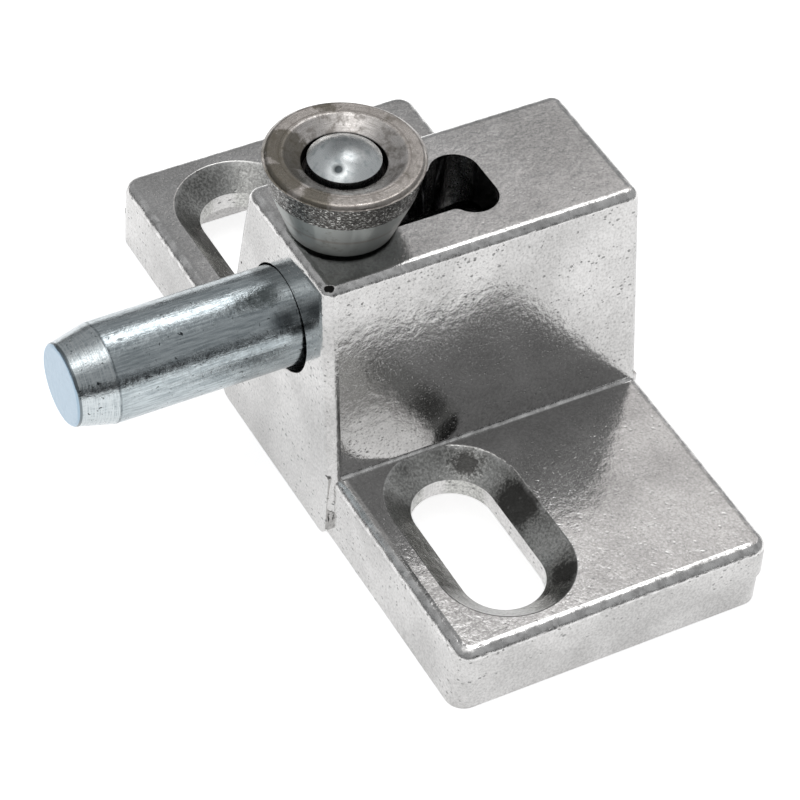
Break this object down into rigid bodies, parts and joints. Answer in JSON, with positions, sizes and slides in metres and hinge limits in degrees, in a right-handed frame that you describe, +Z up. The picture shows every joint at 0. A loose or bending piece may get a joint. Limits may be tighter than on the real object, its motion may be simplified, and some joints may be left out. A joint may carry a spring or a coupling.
{
  "type": "slide lock",
  "caption": "Spring-loaded slide lock: cast housing with slotted flanges, round sliding bolt with a coned nose, and a turned pull knob on a rivet in a T-slot.",
  "frame": {"origin": "on the base plane, below the bolt's axis and on the line through the two screw slots' centres", "axes": "+X along the base plate from slot to slot, -Y the way the bolt comes out, +Z up from the mounting surface"},
  "size_m": [0.0703, 0.0545, 0.0369],
  "materials": {
    "cast_alloy": "tumbled die casting with small pits",
    "zinc_plated_steel": "turned, bluish zinc plate",
    "spring_steel": "dark drawn wire",
    "turned_steel": "turned and worn, lightly stained",
    "bright_zinc_steel": "bright zinc plate"
  },
  "bodies": {
    "housing": {"housing": "cast_alloy", "spring": "spring_steel"},
    "bolt": {"bolt": "zinc_plated_steel", "knob_rivet": "bright_zinc_steel"},
    "knob": {"knob": "turned_steel"}
  },
  "joints": [
    {"name": "bolt_slide", "type": "slide", "parent": "housing", "child": "bolt", "axis": [0, 1, 0], "range_m": [0, 0.0126], "stiffness_N_per_m": 1400, "springref_m": -0.004, "deforming": ["spring"]},
    {"name": "knob_spin", "type": "hinge", "parent": "bolt", "child": "knob", "pos_m": [0, -0.0037, 0.0325], "axis": [0, 0, 1], "continuous": true}
  ]
}
